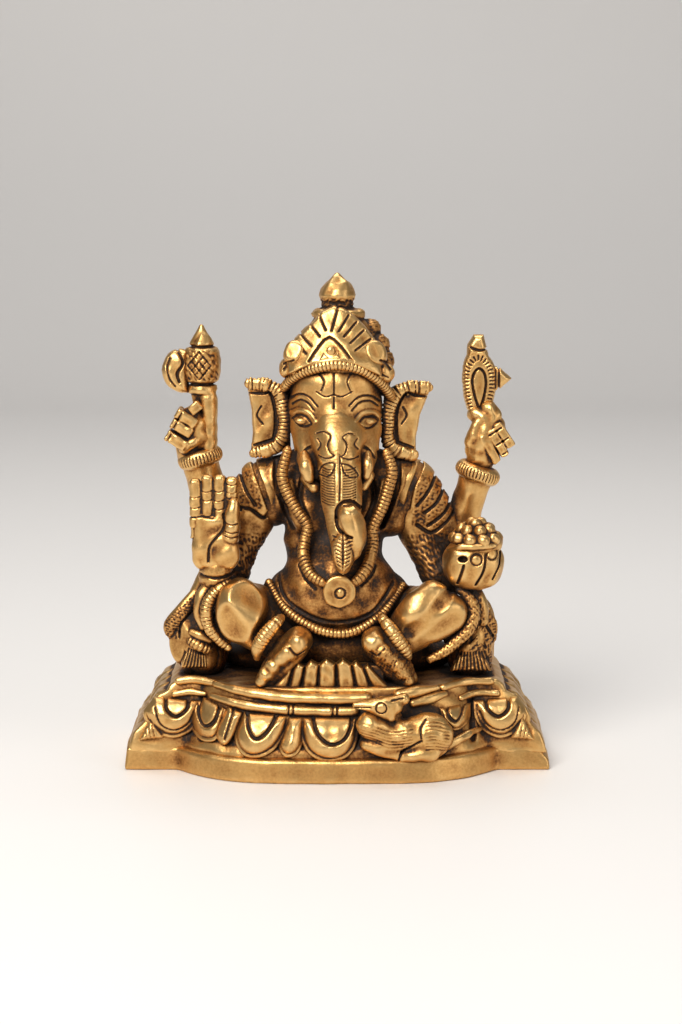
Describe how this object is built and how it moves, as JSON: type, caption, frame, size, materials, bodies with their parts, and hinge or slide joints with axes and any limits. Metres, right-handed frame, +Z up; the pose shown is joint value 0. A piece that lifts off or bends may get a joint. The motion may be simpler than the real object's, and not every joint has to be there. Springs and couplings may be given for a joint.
{
  "type": "deity statue",
  "caption": "Small cast brass statue of a seated four-armed elephant-headed deity on a lotus plinth with a mouse, for a shelf or a home shrine.",
  "frame": {"origin": "middle of the plinth's flat underside, below the figure's head", "axes": "+Z up through the crown's point, -Y the way the figure faces, +X towards the figure's own left hand"},
  "size_m": [0.11, 0.0564, 0.127],
  "materials": {
    "brass": "cast, antiqued dark in the hollows and buffed bright on the high spots"
  },
  "bodies": {
    "root": {"axe_blade": "brass", "axe_shaft": "brass", "belt": "brass", "crown": "brass", "crown_band": "brass", "crown_crest": "brass", "crown_finial": "brass", "crown_jewel": "brass", "dhoti_lap": "brass", "dhoti_pleats": "brass", "garland": "brass", "goad": "brass", "head": "brass", "left_anklet": "brass", "left_bolster": "brass", "left_crown_rosette": "brass", "left_ear": "brass", "left_foot": "brass", "left_front_forearm": "brass", "left_front_hand": "brass", "left_knee_hem": "brass", "left_leg": "brass", "left_rear_bangle": "brass", "left_rear_forearm": "brass", "left_rear_hand": "brass", "left_sash_tassel": "brass", "left_tusk": "brass", "left_upper_arm": "brass", "left_wing_petal": "brass", "lotus_pedestal": "brass", "lotus_petal_1": "brass", "lotus_petal_2": "brass", "lotus_petal_3": "brass", "lotus_petal_4": "brass", "lotus_petal_5": "brass", "mouse_body": "brass", "mouse_head": "brass", "pendant": "brass", "plinth_slab": "brass", "right_anklet": "brass", "right_bolster": "brass", "right_crown_rosette": "brass", "right_ear": "brass", "right_foot": "brass", "right_front_forearm": "brass", "right_front_hand": "brass", "right_knee_hem": "brass", "right_leg": "brass", "right_rear_bangle": "brass", "right_rear_forearm": "brass", "right_rear_hand": "brass", "right_sash_tassel": "brass", "right_tusk": "brass", "right_upper_arm": "brass", "right_wing_petal": "brass", "seat_rim_lower": "brass", "seat_rim_upper": "brass", "sweets_bowl": "brass", "torso": "brass", "trunk": "brass"}
  },
  "joints": []
}
